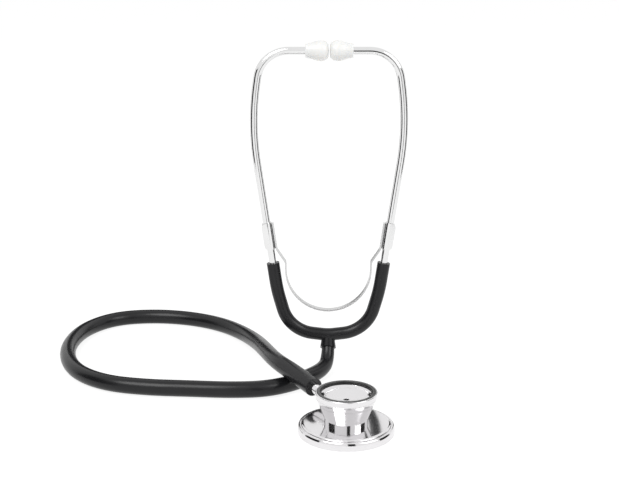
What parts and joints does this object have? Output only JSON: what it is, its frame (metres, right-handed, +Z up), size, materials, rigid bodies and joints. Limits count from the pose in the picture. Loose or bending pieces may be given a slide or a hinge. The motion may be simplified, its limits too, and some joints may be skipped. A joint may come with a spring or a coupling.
{
  "type": "stethoscope",
  "caption": "Dual-head stethoscope with sprung chrome ear tubes, a black tube in a loose loop and a swivelling chest piece with diaphragm and bell.",
  "frame": {"origin": "on the ground, at the centre of the bottom of the box round the headset and chest piece, the acoustic tube left out", "axes": "+Z up along the standing headset, +X from the left ear tube to the right, +Y from the chest piece towards the headset"},
  "size_m": [0.2126, 0.2108, 0.1969],
  "materials": {
    "tubing": "glossy black soft PVC",
    "ear_tips": "milky white soft PVC",
    "bright_chrome": "bright chrome plate",
    "spring_strip": "plated steel strip",
    "chest_chrome": "polished chrome plate",
    "brass_parts": "turned",
    "steel_parts": "plain",
    "black_ring": "smooth black",
    "film": "smooth film",
    "seal": "matt"
  },
  "bodies": {
    "tubing": {"yoke": "tubing", "main_tube": "tubing", "leaf_spring": "spring_strip", "chest_stem": "bright_chrome", "stem_collar": "bright_chrome"},
    "left_arm": {"left_spring_clamp": "bright_chrome"},
    "left_ear": {"left_ear_tube": "bright_chrome", "left_tip_nipple": "bright_chrome"},
    "left_tip": {"left_ear_tip": "ear_tips"},
    "right_arm": {"right_spring_clamp": "bright_chrome"},
    "right_ear": {"right_ear_tube": "bright_chrome", "right_tip_nipple": "bright_chrome"},
    "right_tip": {"right_ear_tip": "ear_tips"},
    "chest_head": {"chest_body": "chest_chrome", "gland_nut": "brass_parts", "detent_ball": "steel_parts", "detent_spring": "steel_parts", "detent_screw": "steel_parts", "bell": "chest_chrome", "non_chill_ring": "black_ring", "diaphragm_rim": "chest_chrome", "diaphragm": "film", "diaphragm_gasket": "seal", "back_plate": "chest_chrome"}
  },
  "joints": [
    {"name": "left_spread", "type": "hinge", "parent": "tubing", "child": "left_arm", "pos_m": [-0.027, 0.0565, 0.038], "axis": [0, -1, 0], "range_deg": [0, 12], "stiffness_Nm_per_rad": 2, "deforming": ["yoke", "leaf_spring"]},
    {"name": "left_twist", "type": "hinge", "parent": "left_arm", "child": "left_ear", "pos_m": [-0.03476, 0.0565, 0.08], "axis": [-0.1433, 0, 0.9897], "range_deg": [-20, 20]},
    {"name": "left_tip_swivel", "type": "hinge", "parent": "left_ear", "child": "left_tip", "pos_m": [-0.009, 0.0565, 0.1911], "axis": [-1, 0, 0], "continuous": true},
    {"name": "right_spread", "type": "hinge", "parent": "tubing", "child": "right_arm", "pos_m": [0.027, 0.0565, 0.038], "axis": [0, 1, 0], "range_deg": [0, 12], "stiffness_Nm_per_rad": 2, "deforming": ["yoke", "leaf_spring"]},
    {"name": "right_twist", "type": "hinge", "parent": "right_arm", "child": "right_ear", "pos_m": [0.03476, 0.0565, 0.08], "axis": [0.1433, 0, 0.9897], "range_deg": [-20, 20]},
    {"name": "right_tip_swivel", "type": "hinge", "parent": "right_ear", "child": "right_tip", "pos_m": [0.009, 0.0565, 0.1911], "axis": [1, 0, 0], "continuous": true},
    {"name": "head_swivel", "type": "hinge", "parent": "tubing", "child": "chest_head", "pos_m": [0.0081, -0.0367, 0.0115], "axis": [-0.4993, 0.8648, 0.0523], "continuous": true}
  ]
}
